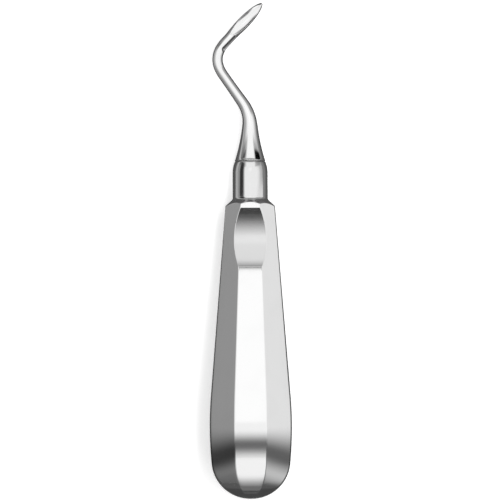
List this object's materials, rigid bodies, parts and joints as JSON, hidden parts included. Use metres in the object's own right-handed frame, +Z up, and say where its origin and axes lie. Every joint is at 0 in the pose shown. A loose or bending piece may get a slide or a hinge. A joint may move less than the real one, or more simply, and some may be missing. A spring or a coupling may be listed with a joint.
{
  "type": "dental root elevator",
  "caption": "Steel dental root elevator with a tapered faceted hollow handle, a finger hollow, a turned neck, and a thin S-bent shank ending in a pointed, scooped blade.",
  "frame": {"origin": "centre of the instrument's footprint, on the surface that its back face lies on", "axes": "+Y from the butt to the blade's tip, +Z up out of the front face with the finger hollow, +X to the side that the blade points to"},
  "size_m": [0.0258, 0.155, 0.0241],
  "materials": {
    "handle_steel": "fine satin",
    "blade_steel": "polished"
  },
  "bodies": {
    "root": {"handle": "handle_steel", "working_end": "blade_steel"}
  },
  "joints": []
}
